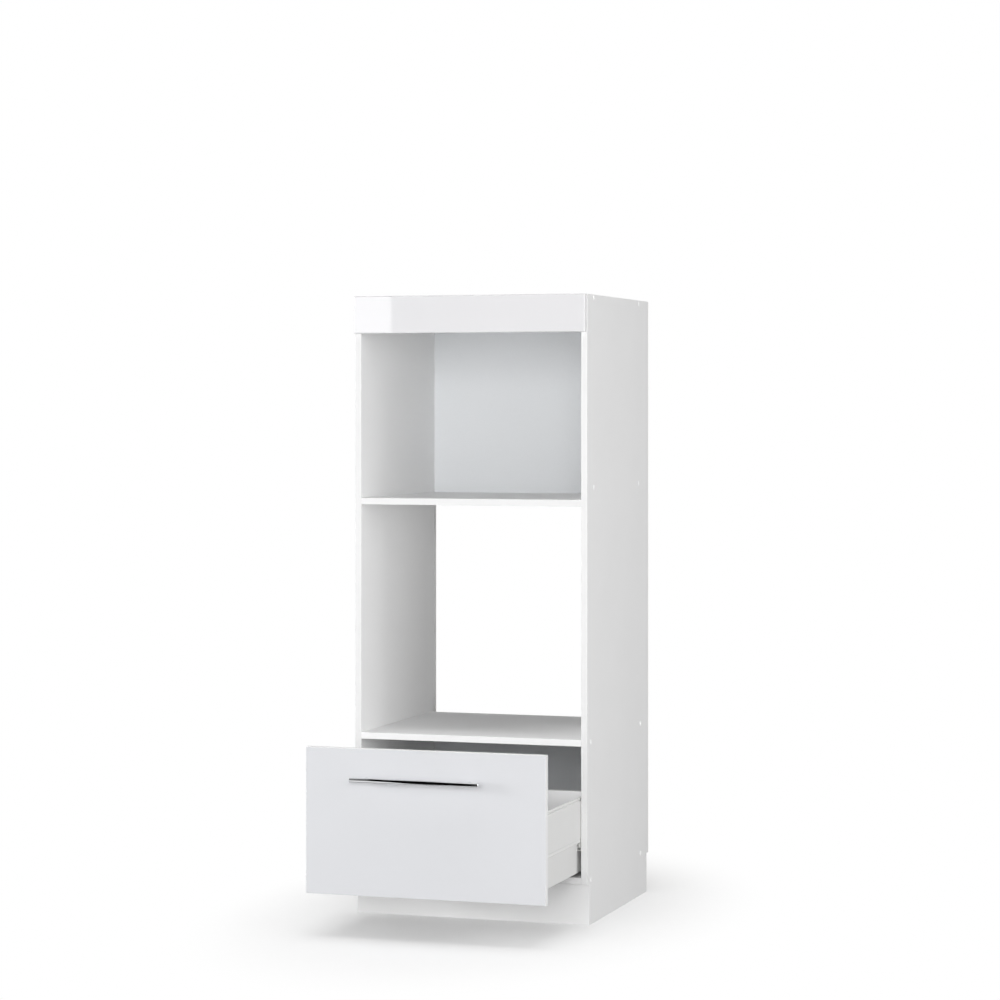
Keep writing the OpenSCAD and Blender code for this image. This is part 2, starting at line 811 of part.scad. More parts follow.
module handle_bar() {
    color("silver") in_frame() difference() {
        translate([handle_shift - handle_len / 2, handle_y, handle_z]) rotate([0, 90, 0])
            rotate_extrude() polygon([
                [0, 0], [handle_d / 2 - handle_chamfer, 0], [handle_d / 2, handle_chamfer],
                [handle_d / 2, handle_len - handle_chamfer], [handle_d / 2 - handle_chamfer, handle_len],
                [0, handle_len]]);
        for (side = [-1, 1])
            rod_y(handle_shift + side * post_pitch / 2, handle_y + handle_d / 2 - spigot_len, handle_z,
                spigot_d + 2 * fit_gap, spigot_len + cut);
    }
}

// Posts with a saddle end that fits the bar and a spigot that enters it
module handle_posts() {
    thread_len = handle_thread + end_room;
    color("silver") in_frame() for (side = [-1, 1])
        translate([handle_shift + side * post_pitch / 2, 0, 0]) {
            difference() {
                rod_y(0, handle_y, handle_z, post_d, handle_standoff);
                translate([-post_d, handle_y, handle_z]) rotate([0, 90, 0])
                    cylinder(d = handle_d + 2 * fit_gap, h = 2 * post_d);
                rod_y(0, box_y - front_t - thread_len, handle_z, handle_screw_d + 2 * fit_gap,
                    thread_len + cut);
            }
            rod_y(0, handle_y + handle_d / 2 - spigot_len + fit_gap, handle_z, spigot_d,
                spigot_len + spigot_root);
        }
}

module handle_screws() {
    color("silver") in_frame() for (side = [-1, 1])
        translate([handle_shift + side * post_pitch / 2, box_y, handle_z]) {
            rod_y(0, -handle_screw_len, 0, handle_screw_d, handle_screw_len + eps);
            difference() {
                rod_y(0, 0, 0, handle_head_d, handle_head_h);
                translate([0, handle_head_h, 0]) rotate([90, 0, 0]) cross_slot(handle_slot);
            }
        }
}

// The space inside the two skins, or their outer outline with an inset of 0
module skin_box(inset) {
    translate([inside_x + inset, shoulder_z - inset]) mirror([0, 1])
        soft_edge(skin_w - 2 * inset, shoulder_z - track_z - 2 * inset, shoulder_r - inset);
}

// The hollow bead on its neck of two sheets
module bead_profile() {
    difference() {
        union() {
            translate([bead_x, box_top - bead_r]) circle(bead_r);
            translate([bead_x - sheet_t, shoulder_z - sheet_t])
                square([2 * sheet_t, sheet_t + bead_gap + bead_r]);
        }
        translate([bead_x, box_top - bead_r]) circle(bead_r - sheet_t);
    }
}

// The cove as a round cut, or the steel behind it with a skin of sheet_t
module cove(skin) {
    translate([skin_x + cove_r - cove_in, track_z + cove_rise]) circle(cove_r + skin);
}

// Outline of the right drawer side: flange, lower wall, track, outer skin with its cove, shoulders,
// bead and inner skin
module side_profile() {
    difference() {
        union() {
            skin_box(0);
            translate([inside_x, box_z]) square([sheet_t, track_z - box_z + eps]);
            translate([inside_x - flange_w, box_z]) square([flange_w + sheet_t, sheet_t]);
        }
        difference() {
            skin_box(sheet_t);
            cove(sheet_t);
        }
        cove(0);
        difference() {
            translate([skin_x - bend_r, track_z - cut]) square([bend_r + cut, bend_r + cut]);
            translate([skin_x - bend_r, track_z + bend_r]) circle(bend_r);
        }
    }
    bead_profile();
}

// Heights of the three screws of a drawer bracket
function bracket_rows(height) = [for (i = [-1:1]) bracket_z + height / 2 + i * bracket_screw_pitch];

module drawer_side() {
    difference() {
        along_y(box_y, slide_len) side_profile();
        rod_x(inside_x - cut, rear_axle_y, rear_axle_z, axle_d + 2 * fit_gap, sheet_t + 2 * cut);
        for (y = bottom_screw_rows)
            translate([bottom_screw_x, box_y + y, box_z - cut])
                cylinder(d = small_hole_d, h = sheet_t + 2 * cut);
    }
}

module drawer_side_left() {
    color("ivory") in_frame() on_side(-1) drawer_side();
}

module drawer_side_right() {
    color("ivory") in_frame() on_side(1) drawer_side();
}

// Angles between the steel sides and the drawer front
module front_brackets() {
    color("gainsboro") in_frame() for (side = [-1, 1]) on_side(side) difference() {
        translate([0, 0, bracket_z]) linear_extrude(front_bracket_h) {
            translate([inside_x - bracket_leg, box_y]) square([bracket_leg, bracket_t]);
            translate([inside_x - bracket_t, box_y]) square([bracket_t, front_bracket_tail]);
        }
        for (z = bracket_rows(front_bracket_h))
            rod_y(bracket_screw_x, box_y - cut, z, small_hole_d, bracket_t + 2 * cut);
    }
}

// Angles between the steel sides and the drawer back
module rear_brackets() {
    color("gainsboro") in_frame() for (side = [-1, 1]) on_side(side) difference() {
        translate([0, 0, bracket_z]) linear_extrude(rear_bracket_h) {
            translate([inside_x - bracket_leg, box_rear]) square([bracket_leg, bracket_t]);
            translate([inside_x - bracket_t, box_rear - rear_bracket_tail])
                square([bracket_t, rear_bracket_tail + bracket_t]);
        }
        for (z = bracket_rows(rear_bracket_h))
            rod_y(bracket_screw_x, box_rear - cut, z, small_hole_d, bracket_t + 2 * cut);
    }
}

module drawer_back() {
    reach = inside_x - bracket_t - board_gap;
    color("white") in_frame() difference() {
        translate([-reach, box_rear - drawer_back_t, floor_top])
            cube([2 * reach, drawer_back_t, box_top - drawer_back_drop - floor_top]);
        for (side = [-1, 1], z = bracket_rows(rear_bracket_h))
            rod_y(side * bracket_screw_x, box_rear - (small_screw_len - bracket_t), z,
                small_hole_d, small_screw_len - bracket_t + cut);
    }
}

module drawer_bottom() {
    reach = inside_x - board_gap;
    color("white") in_frame() difference() {
        translate([-reach, box_y, floor_z]) cube([2 * reach, slide_len, bottom_t]);
        for (side = [-1, 1], y = bottom_screw_rows)
            translate([side * bottom_screw_x, box_y + y, floor_z - cut])
                cylinder(d = small_hole_d, h = small_screw_len - sheet_t + cut);
    }
}

// Screws of the drawer box: through the flanges, the front brackets and the rear brackets
module drawer_screws() {
    color("silver") in_frame() for (side = [-1, 1]) on_side(side) {
        for (y = bottom_screw_rows)
            translate([bottom_screw_x, box_y + y, box_z]) small_screw();
        for (z = bracket_rows(front_bracket_h))
            translate([bracket_screw_x, box_y + bracket_t, z]) rotate([90, 0, 0]) small_screw();
        for (z = bracket_rows(rear_bracket_h))
            translate([bracket_screw_x, box_rear + bracket_t, z]) rotate([90, 0, 0]) small_screw();
    }
}

module rear_axles() {
    color("silver") in_frame() for (side = [-1, 1])
        on_side(side) translate([wall_x, rear_axle_y, rear_axle_z])
            axle(sheet_t, runner_gap - roller_out - roller_w);
}

module rear_roller(side) {
    on_side(side) translate([roller_x, rear_axle_y, rear_axle_z]) roller(1);
}

module rear_roller_left() {
    color("white") in_frame() rear_roller(-1);
}

module rear_roller_right() {
    color("white") in_frame() rear_roller(1);
}

side_left();
side_right();
top_panel();
microwave_shelf();
oven_shelf();
bottom_panel();
plinth_front();
plinth_rear();
upper_back();
lower_back();
fascia();
angle_brackets();
bracket_screws();
confirmat_screws();
screw_caps();
spare_hole_plugs();
dowels();
cam_bolts();
cam_locks();
runner_left();
runner_right();
runner_screws();
front_axles();
front_roller_left();
front_roller_right();
drawer_front();
front_bumpers();
handle_bar();
handle_posts();
handle_screws();
drawer_side_left();
drawer_side_right();
front_brackets();
rear_brackets();
drawer_back();
drawer_bottom();
drawer_screws();
rear_axles();
rear_roller_left();
rear_roller_right();
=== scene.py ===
# White kitchen cabinet for a microwave and an oven, with its bottom drawer pulled out.
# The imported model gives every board, rail, roller and screw. This script adds their finishes, the light and
# the camera.
import json
import math

import bmesh
import bpy
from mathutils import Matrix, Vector


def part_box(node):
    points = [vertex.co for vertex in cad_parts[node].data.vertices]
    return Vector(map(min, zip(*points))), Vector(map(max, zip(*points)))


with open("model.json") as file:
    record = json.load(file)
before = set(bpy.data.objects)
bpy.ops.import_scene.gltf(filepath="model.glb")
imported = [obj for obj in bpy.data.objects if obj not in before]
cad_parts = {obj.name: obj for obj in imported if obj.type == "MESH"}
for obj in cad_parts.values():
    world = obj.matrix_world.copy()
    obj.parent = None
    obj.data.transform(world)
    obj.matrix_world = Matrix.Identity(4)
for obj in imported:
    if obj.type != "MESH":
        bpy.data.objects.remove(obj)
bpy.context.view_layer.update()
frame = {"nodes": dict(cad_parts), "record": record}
nodes = frame["nodes"]
scene = bpy.context.scene
print("frame loaded:", len(nodes), "nodes")

mm = 0.001


def hexColour(text):
    channels = [int(text[i:i + 2], 16) / 255 for i in (1, 3, 5)]
    linear = [c / 12.92 if c <= 0.04045 else ((c + 0.055) / 1.055) ** 2.4 for c in channels]
    return (*linear, 1.0)


def feed(material, node, sockets):
    # each socket, by its name or number, takes a value or another node's output
    for socket, value in sockets.items():
        if isinstance(value, bpy.types.NodeSocket):
            material.node_tree.links.new(value, node.inputs[socket])
        else:
            node.inputs[socket].default_value = value


def addNode(material, kind, sockets=None, **settings):
    node = material.node_tree.nodes.new(kind)
    for name, value in settings.items():
        setattr(node, name, value)
    feed(material, node, sockets or {})
    return node


def newMaterial(name):
    # a new material, its shader, and the coordinates that its patterns follow
    material = bpy.data.materials.new(name)
    material.use_nodes = True
    shader = material.node_tree.nodes["Principled BSDF"]
    coords = addNode(material, "ShaderNodeTexCoord").outputs["Object"]
    return material, shader, coords


def mottled(material, coords, size, light, dark, detail=2.0):
    # a tone that drifts between two colours over patches of this size, and the pattern that it follows
    pattern = addNode(material, "ShaderNodeTexNoise",
                      {"Vector": coords, "Scale": 1 / size, "Detail": detail})
    tone = addNode(material, "ShaderNodeMix",
                   {0: pattern.outputs["Fac"], 6: hexColour(light), 7: hexColour(dark)}, data_type="RGBA")
    return tone.outputs[2], pattern.outputs["Fac"]


def pastPlane(material, coords, depth, step=0.05 * mm):
    # 1 where the board's own Y is past a plane, as on a rear edge, and 0 in front of it
    split = addNode(material, "ShaderNodeSeparateXYZ", {"Vector": coords})
    past = addNode(material, "ShaderNodeMapRange",
                   {"Value": split.outputs["Y"], "From Min": depth - step, "From Max": depth + step})
    return past.outputs["Result"]


chips = {
    "pale": "#d3b88c",
    "dark": "#a98456",
    "size": 2.2 * mm,        # the wood chips of the core
    "rearEdge": 0.3 * mm,    # how deep into the board the bare rear edge is drawn
}


def chipboardColour(material, coords):
    # Bare chipboard: pressed wood chips, each with its own tone
    cell = addNode(material, "ShaderNodeTexVoronoi", {"Vector": coords, "Scale": 1 / chips["size"]})
    tone = addNode(material, "ShaderNodeSeparateColor", {"Color": cell.outputs["Color"]})
    mixed = addNode(material, "ShaderNodeMix", {0: tone.outputs["Red"], 6: hexColour(chips["pale"]),
                                                7: hexColour(chips["dark"])}, data_type="RGBA")
    return mixed.outputs[2]


board = {
    "white": "#f7f7f7",      # melamine paper over chipboard
    "shade": "#f4f4f4",
    "cloud": 143 * mm,       # slow clouds in the tone
    "roughness": 0.7,
    "specular": 0.1,
    "shelfSpecular": 0.0,    # seen almost edge on, a sheen would mirror the white room, and the photograph
                             # shows a dark shelf
    "pearl": 0.35 * mm,      # pressed pearl of the melamine face
    "pearlCoarser": 3,       # it is drawn this many times coarser, so that it shows
    "pearlDepth": 0.010 * mm,
    "pearlStrength": 0.25,
    "edge": "#ececec",       # the edge band on the front edges
    "bandDepth": 0.8 * mm,
    "glueLine": 0.12 * mm,   # where the band meets the face
    "glueColour": "#dcdcdb",
}
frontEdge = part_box("side_left")[0][1]


def pearlGrain(material, coords, strength):
    grain = addNode(material, "ShaderNodeTexNoise",
                    {"Vector": coords, "Scale": 1 / (board["pearl"] * board["pearlCoarser"]),
                     "Detail": 2.0, "Roughness": 0.6})
    bump = addNode(material, "ShaderNodeBump", {"Height": grain.outputs["Fac"], "Strength": strength,
                                                "Distance": board["pearlDepth"]})
    return bump.outputs["Normal"]


def edgeBand(material, coords, tint, bandTone):
    # the band on a front edge, and the hair line of glue behind it
    bandEnd = frontEdge + board["bandDepth"]
    banded = addNode(material, "ShaderNodeMix", {0: pastPlane(material, coords, bandEnd),
                                                 6: hexColour(bandTone), 7: tint}, data_type="RGBA")
    split = addNode(material, "ShaderNodeSeparateXYZ", {"Vector": coords})
    line = addNode(material, "ShaderNodeMath",
                   {0: split.outputs["Y"], 1: bandEnd, 2: board["glueLine"] / 2}, operation="COMPARE")
    glued = addNode(material, "ShaderNodeMix", {0: line.outputs[0], 6: banded.outputs[2],
                                                7: hexColour(board["glueColour"])}, data_type="RGBA")
    return glued.outputs[2]


def melamineMaterial(name, rearEdge=None, bandTone=None, specular=board["specular"]):
    # Chipboard with a melamine face, pressed against a pearl-grained plate: an even white, near matt, with
    # a fine grain that breaks up reflections. The front edge has a band, and the rear edge is bare.
    material, shader, coords = newMaterial(name)
    tint, _ = mottled(material, coords, board["cloud"], board["white"], board["shade"])
    if bandTone is not None:
        tint = edgeBand(material, coords, tint, bandTone)
    if rearEdge is not None:
        bare = pastPlane(material, coords, rearEdge - chips["rearEdge"])
        tint = addNode(material, "ShaderNodeMix", {0: bare, 6: tint, 7: chipboardColour(material, coords)},
                       data_type="RGBA").outputs[2]
    feed(material, shader, {
        "Base Color": tint,
        "Normal": pearlGrain(material, coords, board["pearlStrength"]),
        "Roughness": board["roughness"],
        "Specular IOR Level": specular,
    })
    return material


glossFace = {
    "white": "#e1e0e2",
    "shade": "#dedee0",
    "cloud": 200 * mm,       # slow clouds in the tone
    "wave": 45.45 * mm,      # slow waviness from the press
    "waveDepth": 0.05 * mm,
    "waveStrength": 0.15,
    "roughness": 0.03,
    "index": 1.49,           # acrylic
    "coat": 0.6,
    "coatRoughness": 0.02,
}


def glossMaterial():
    # Acrylic-faced laminate, polished: a clear mirror over white, which the press leaves a little wavy
    material, shader, coords = newMaterial("highGlossLaminate")
    tint, _ = mottled(material, coords, glossFace["cloud"], glossFace["white"], glossFace["shade"],
                      detail=1.0)
    wave = addNode(material, "ShaderNodeTexNoise",
                   {"Vector": coords, "Scale": 1 / glossFace["wave"], "Detail": 1.0})
    bump = addNode(material, "ShaderNodeBump",
                   {"Height": wave.outputs["Fac"], "Strength": glossFace["waveStrength"],
                    "Distance": glossFace["waveDepth"]})
    feed(material, shader, {
        "Base Color": tint,
        "Normal": bump.outputs["Normal"],
        "Roughness": glossFace["roughness"],
        "IOR": glossFace["index"],
        "Coat Weight": glossFace["coat"],
        "Coat Roughness": glossFace["coatRoughness"],
    })
    return material


frontFace = {
    "white": "#dadbde",      # a cooler, greyer white than the boards
    "shade": "#d8d9dc",
    "pearlStrength": 0.2,
    "roughness": 0.35,
    "specular": 0.15,
    "edge": "#f4f4f4",       # the edge band
    "bandIn": 0.6 * mm,      # how far the band shows round the corner
}


def laminateMaterial():
    # Chipboard front with a smooth melamine face, and a whiter edge band of plastic all round it
    material, shader, coords = newMaterial("smoothLaminate")
    tint, _ = mottled(material, coords, board["cloud"], frontFace["white"], frontFace["shade"])
    low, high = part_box("drawer_front")
    middle = [(start + end) / 2 for start, end in zip(low, high)]
    centred = addNode(material, "ShaderNodeMapping",
                      {"Vector": coords, "Location": (-middle[0], 0, -middle[2])})
    folded = addNode(material, "ShaderNodeVectorMath", {0: centred.outputs["Vector"]}, operation="ABSOLUTE")
    split = addNode(material, "ShaderNodeSeparateXYZ", {"Vector": folded.outputs["Vector"]})
    for axis, half in (("X", (high[0] - low[0]) / 2), ("Z", (high[2] - low[2]) / 2)):
        onBand = addNode(material, "ShaderNodeMath",
                         {0: split.outputs[axis], 1: half - frontFace["bandIn"]}, operation="GREATER_THAN")
        tint = addNode(material, "ShaderNodeMix",
                       {0: onBand.outputs[0], 6: tint, 7: hexColour(frontFace["edge"])},
                       data_type="RGBA").outputs[2]
    feed(material, shader, {
        "Base Color": tint,
        "Normal": pearlGrain(material, coords, frontFace["pearlStrength"]),
        "Roughness": frontFace["roughness"],
        "Specular IOR Level": frontFace["specular"],
    })
    return material


hardback = {
    "lacquer": "#f2f4f6",    # on the face that looks into the niche
    "lacquerFleck": "#edeff1",
    "fibre": "#9c7a54",      # bare, on the rear
    "fibreFleck": "#86653f",
    "fleck": 1.4 * mm,       # bundles of fibre
    "fleckCoarser": 2,       # they are drawn this many times coarser, so that they show
    "fleckDepth": 0.03 * mm,
    "fleckStrength": 0.2,
    "rearFace": 0.3 * mm,    # how deep into the board the bare rear face is drawn
    "roughness": 0.7,
    "specular": 0.15,
}


def hardboardMaterial():
    # Thin hardboard, lacquered white on one face only: flatter and a little bluer than the melamine, with
    # the faint fleck of its fibres. The rear face is the bare brown board.
    material, shader, coords = newMaterial("lacqueredHardboard")
    size = hardback["fleck"] * hardback["fleckCoarser"]
    front, fleck = mottled(material, coords, size, hardback["lacquer"], hardback["lacquerFleck"],
                           detail=3.0)
    rear, _ = mottled(material, coords, size, hardback["fibre"], hardback["fibreFleck"], detail=3.0)
    bare = pastPlane(material, coords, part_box("upper_back")[1][1] - hardback["rearFace"])
    tint = addNode(material, "ShaderNodeMix", {0: bare, 6: front, 7: rear}, data_type="RGBA")
    bump = addNode(material, "ShaderNodeBump", {"Height": fleck, "Strength": hardback["fleckStrength"],
                                                "Distance": hardback["fleckDepth"]})
    feed(material, shader, {
        "Base Color": tint.outputs[2],
        "Normal": bump.outputs["Normal"],
        "Roughness": hardback["roughness"],
        "Specular IOR Level": hardback["specular"],
    })
    return material


powder = {
    "cream": ("#e9e9e8", "#e5e5e4"),
    "white": ("#e8e8e7", "#e3e3e2"),
    "cloud": 111 * mm,       # slow clouds in the tone
    "peel": 1.43 * mm,       # fine orange peel
    "peelDepth": 0.02 * mm,
    "peelStrength": 0.3,
    "roughness": 0.45,
}


def powderMaterial(name, tones):
    # Powder coat on folded steel: a soft satin with a fine orange peel
    material, shader, coords = newMaterial(name)
    tint, _ = mottled(material, coords, powder["cloud"], *tones, detail=1.0)
    peel = addNode(material, "ShaderNodeTexNoise",
                   {"Vector": coords, "Scale": 1 / powder["peel"], "Detail": 2.0})
    bump = addNode(material, "ShaderNodeBump",
                   {"Height": peel.outputs["Fac"], "Strength": powder["peelStrength"],
                    "Distance": powder["peelDepth"]})
    feed(material, shader, {
        "Base Color": tint,
        "Normal": bump.outputs["Normal"],
        "Roughness": powder["roughness"],
    })
    return material


chromePlate = {
    "colour": "#dfe0e2",
    "ringWidth": 1.11 * mm,  # faint rings of polishing, along the bar
    "ringLength": 33.3 * mm,
    "smooth": 0.05,          # roughness at its least and most
    "rough": 0.12,
}


def chromeMaterial():
    # Chrome plate on steel, polished round the bar: a mirror with faint rings
    material, shader, coords = newMaterial("polishedChrome")
    along, around = 1 / chromePlate["ringWidth"], 1 / chromePlate["ringLength"]
    stretched = addNode(material, "ShaderNodeMapping", {"Vector": coords, "Scale": (along, around, around)})
    rings = addNode(material, "ShaderNodeTexNoise",
                    {"Vector": stretched.outputs["Vector"], "Scale": 1.0, "Detail": 2.0})
    rough = addNode(material, "ShaderNodeMapRange",
                    {"Value": rings.outputs["Fac"], "To Min": chromePlate["smooth"],
                     "To Max": chromePlate["rough"]})
    feed(material, shader, {
        "Base Color": hexColour(chromePlate["colour"]),
        "Metallic": 1.0,
        "Roughness": rough.outputs["Result"],
    })
    return material


zincFinish = {
    "spangle": 3.85 * mm,    # patches of crystal in the zinc
    "plate": {"light": "#c4c7cc", "dark": "#a9adb4", "roughness": 0.35},
    "casting": {"light": "#8f9093", "dark": "#77787b", "roughness": 0.5},
}


def zincMaterial(name, look):
    # Zinc on screws, pins and angles, or die-cast in the cams: a metal with a cloudy, crystalline tone
    material, shader, coords = newMaterial(name)
    tint, _ = mottled(material, coords, zincFinish["spangle"], look["light"], look["dark"], detail=3.0)
    feed(material, shader, {"Base Color": tint, "Metallic": 1.0, "Roughness": look["roughness"]})
    return material


plastic = {
    "cloud": 5.56 * mm,      # faint clouds from the mould
    "cloudDepth": 0.05 * mm,
    "cloudStrength": 0.1,
    "roughness": 0.3,
    "glowDepth": 2 * mm,     # how far light wanders inside
    "skinRoughness": 0.2,
    "nylon": {"light": "#fafaf7", "dark": "#f3f3ef", "translucency": 0.15, "skin": 0.0},
    "cap": {"light": "#fefefe", "dark": "#fcfcfc", "translucency": 0.0, "skin": 0.45},
    "bumper": {"light": "#d4d6d6", "dark": "#c8caca", "translucency": 0.3, "skin": 0.0},
}


def plasticMaterial(name, look):
    # Moulded nylon or polyethylene: an even colour, faintly cloudy, with a soft skin
    material, shader, coords = newMaterial(name)
    tint, cloud = mottled(material, coords, plastic["cloud"], look["light"], look["dark"])
    bump = addNode(material, "ShaderNodeBump", {"Height": cloud, "Strength": plastic["cloudStrength"],
                                                "Distance": plastic["cloudDepth"]})
    feed(material, shader, {
        "Base Color": tint,
        "Normal": bump.outputs["Normal"],
        "Roughness": plastic["roughness"],
        "Subsurface Weight": look["translucency"],
        "Subsurface Radius": (plastic["glowDepth"],) * 3,
        "Coat Weight": look["skin"],
        "Coat Roughness": plastic["skinRoughness"],
    })
    return material


peg = {
    "pale": "#cfae86",
    "dark": "#b48c60",
    "fleckLength": 16.7 * mm,
    "fleckWidth": 1.11 * mm,
    "roughness": 0.6,
}


def beechMaterial():
    # Turned beech: pale brown with short darker flecks along the grain
    material, shader, coords = newMaterial("turnedBeech")
    along, across = 1 / peg["fleckLength"], 1 / peg["fleckWidth"]
    stretched = addNode(material, "ShaderNodeMapping", {"Vector": coords, "Scale": (along, across, across)})
    tint, _ = mottled(material, stretched.outputs["Vector"], 1.0, peg["pale"], peg["dark"], detail=3.0)
    feed(material, shader, {"Base Color": tint, "Roughness": peg["roughness"]})
    return material


melamine = melamineMaterial("melamineBoard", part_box("side_left")[1][1], board["edge"])
melamineShelf = melamineMaterial("melamineShelf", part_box("oven_shelf")[1][1], board["white"],
                                 board["shelfSpecular"])
melaminePanel = melamineMaterial("melaminePanel")
print("board materials made")

finishes = {
    "white_board": melamine,
    "white_hardboard": hardboardMaterial(),
    "gloss_front": glossMaterial(),
    "satin_front": laminateMaterial(),
    "plated_steel": zincMaterial("zincPlate", zincFinish["plate"]),
    "cam_zinc": zincMaterial("castZinc", zincFinish["casting"]),
    "cap_plastic": plasticMaterial("capPolyethylene", plastic["cap"]),
    "beech_dowel": beechMaterial(),
    "runner_steel": powderMaterial("whitePowderCoat", powder["white"]),
    "drawer_steel": powderMaterial("creamPowderCoat", powder["cream"]),
    "roller_nylon": plasticMaterial("whiteNylon", plastic["nylon"]),
    "bumper_clear": plasticMaterial("softBumper", plastic["bumper"]),
    "handle_chrome": chromeMaterial(),
}
# boards whose rear edges lie elsewhere, or that have no bare edge in sight
ownFinish = {
    "oven_shelf": melamineShelf,
    "plinth_front": melaminePanel,
    "plinth_rear": melaminePanel,
    "drawer_back": melaminePanel,
    "drawer_bottom": melaminePanel,
}
slotOfNode = {entry["node"]: entry["material_slot"] for entry in frame["record"]["subparts"]}


def dressNode(node, material):
    if not node.material_slots:
        node.data.materials.append(material)
    for slot in node.material_slots:
        slot.material = material


for name, node in nodes.items():
    dressNode(node, ownFinish.get(name, finishes[slotOfNode[name]]))
print("nodes dressed")


# The camera is level, and its shift moves the picture down, as the photograph's upright edges ask.
camera = {
    "place": (2.293863, -6.806737, 1.246837),
    "turn": 18.094,            # degrees
    "focalPixels": 2923.008,
    "horizonPixel": 410.786,
    "picture": 1000,
    "sensor": 36.0,
    "clipEnd": 60.0,
}


def makeCamera():
    data = bpy.data.cameras.new("camera")
    data.sensor_fit = "HORIZONTAL"
    data.sensor_width = camera["sensor"]
    data.lens = camera["focalPixels"] * camera["sensor"] / camera["picture"]
    data.shift_y = -(camera["picture"] / 2 - camera["horizonPixel"]) / camera["picture"]
    data.clip_end = camera["clipEnd"]
    eye = bpy.data.objects.new("camera", data)
    eye.location = camera["place"]
    eye.rotation_euler = (math.radians(90), 0.0, math.radians(camera["turn"]))
    scene.collection.objects.link(eye)
    scene.camera = eye


makeCamera()
print("camera placed")


paper = {
    "size": 30.0,
    "colour": "#f9f9f9",           # what the camera sees of it
    "bounce": "#bcbcbc",           # what it throws back at the cabinet
    "fadeCentre": (-0.013, 0.122),
    "fadeReach": (0.68, 1.15),     # metres to the sides and to the front and back, where it is pure white
    "fadeFrom": 0.18,              # the share of that reach where the paper starts to turn white
}


def seenRays(material):
    # 1 for what the camera sees, straight or by way of a shiny or clear surface
    path = addNode(material, "ShaderNodeLightPath")
    sharp = addNode(material, "ShaderNodeMath",
                    {0: path.outputs["Is Camera Ray"], 1: path.outputs["Is Glossy Ray"]},
                    operation="MAXIMUM")
    seen = addNode(material, "ShaderNodeMath",
                   {0: sharp.outputs[0], 1: path.outputs["Is Transmission Ray"]}, operation="MAXIMUM")
    return seen.outputs[0]


def floorMaterial():
    # Seamless paper: matt, it keeps the soft shadow, and further off it fades to pure white.
    material, shader, coords = newMaterial("studioPaper")
    seen = seenRays(material)
    colour = addNode(material, "ShaderNodeMix",
                     {0: seen, 6: hexColour(paper["bounce"]), 7: hexColour(paper["colour"])},
                     data_type="RGBA")
    feed(material, shader, {"Base Color": colour.outputs[2], "Roughness": 1.0, "Specular IOR Level": 0.0})
    scales = [1 / length for length in paper["fadeReach"]]
    shifts = [-centre * scale for centre, scale in zip(paper["fadeCentre"], scales)]
    centred = addNode(material, "ShaderNodeMapping",
                      {"Vector": coords, "Location": (*shifts, 0), "Scale": (*scales, 1)})
    reach = addNode(material, "ShaderNodeVectorMath", {0: centred.outputs["Vector"]}, operation="LENGTH")
    fade = addNode(material, "ShaderNodeMapRange",
                   {"Value": reach.outputs["Value"], "From Min": paper["fadeFrom"], "From Max": 1.0},
                   interpolation_type="SMOOTHSTEP")
    share = addNode(material, "ShaderNodeMath", {0: fade.outputs["Result"], 1: seen}, operation="MULTIPLY")
    white = addNode(material, "ShaderNodeEmission", {"Strength": 1.0})
    blend = addNode(material, "ShaderNodeMixShader",
                    {0: share.outputs[0], 1: shader.outputs[0], 2: white.outputs[0]})
    feed(material, material.node_tree.nodes["Material Output"], {"Surface": blend.outputs[0]})
    return material


def makeFloor():
    mesh = bmesh.new()
    bmesh.ops.create_grid(mesh, x_segments=1, y_segments=1, size=paper["size"] / 2)
    data = bpy.data.meshes.new("floor")
    mesh.to_mesh(data)
    mesh.free()
    data.materials.append(floorMaterial())
    floor = bpy.data.objects.new("floor", data)
    scene.collection.objects.link(floor)


room = {
    "light": 0.08,     # an even, dim light on the cabinet
    "seen": 1.0,       # pure white where the room itself is seen
}


def makeWorld():
    world = bpy.data.worlds.new("studio")
    scene.world = world
    world.use_nodes = True
    strength = addNode(world, "ShaderNodeMapRange",
                       {"Value": seenRays(world), "To Min": room["light"], "To Max": room["seen"]})
    feed(world, world.node_tree.nodes["Background"],
         {"Color": (1, 1, 1, 1), "Strength": strength.outputs["Result"]})


# the wide soft light from above
overhead = {
    "strength": 1.08,  # watts on a square metre
    "spread": 34,      # degrees
    "lean": 3,         # degrees towards the front
    "height": 4,
}
# each softbox: where it stands, where it points, its width and height in metres, and its watts
softboxes = {
    "front": {"place": (1.2, -6.0, 1.75), "target": (0, 0, 0.8), "size": (3.0, 2.2), "watts": 151},
    "low": {"place": (0.2, -4.8, 0.35), "target": (0, 0, 0.4), "size": (3.0, 0.6), "watts": 10},
    "niche": {"place": (3.4, -5.2, 1.25), "target": (0, 0, 1.1), "size": (1.8, 0.6), "watts": 17},
    "right": {"place": (4.8, -2.2, 1.75), "target": (0.2, 0.2, 0.8), "size": (2.4, 2.6), "watts": 60},
    "side": {"place": (5.0, -0.5, 1.7), "target": (0.3, 0.25, 0.8), "size": (2.0, 2.6), "watts": 56},
    "left": {"place": (-5.0, -2.8, 1.25), "target": (0, 0, 0.8), "size": (2.4, 2.2), "watts": 175},
    "rear": {"place": (-2.6, 4.4, 0.28), "target": (0, 0.5, 0.6), "size": (2.4, 0.4), "watts": 40},
}


def makeSoftbox(name, box):
    data = bpy.data.lights.new(name + "Softbox", "AREA")
    data.shape = "RECTANGLE"
    data.size, data.size_y = box["size"]
    data.energy = box["watts"]
    lamp = bpy.data.objects.new(name + "Softbox", data)
    lamp.location = box["place"]
    lamp.rotation_euler = (Vector(box["target"]) - lamp.location).to_track_quat("-Z", "Y").to_euler()
    scene.collection.objects.link(lamp)


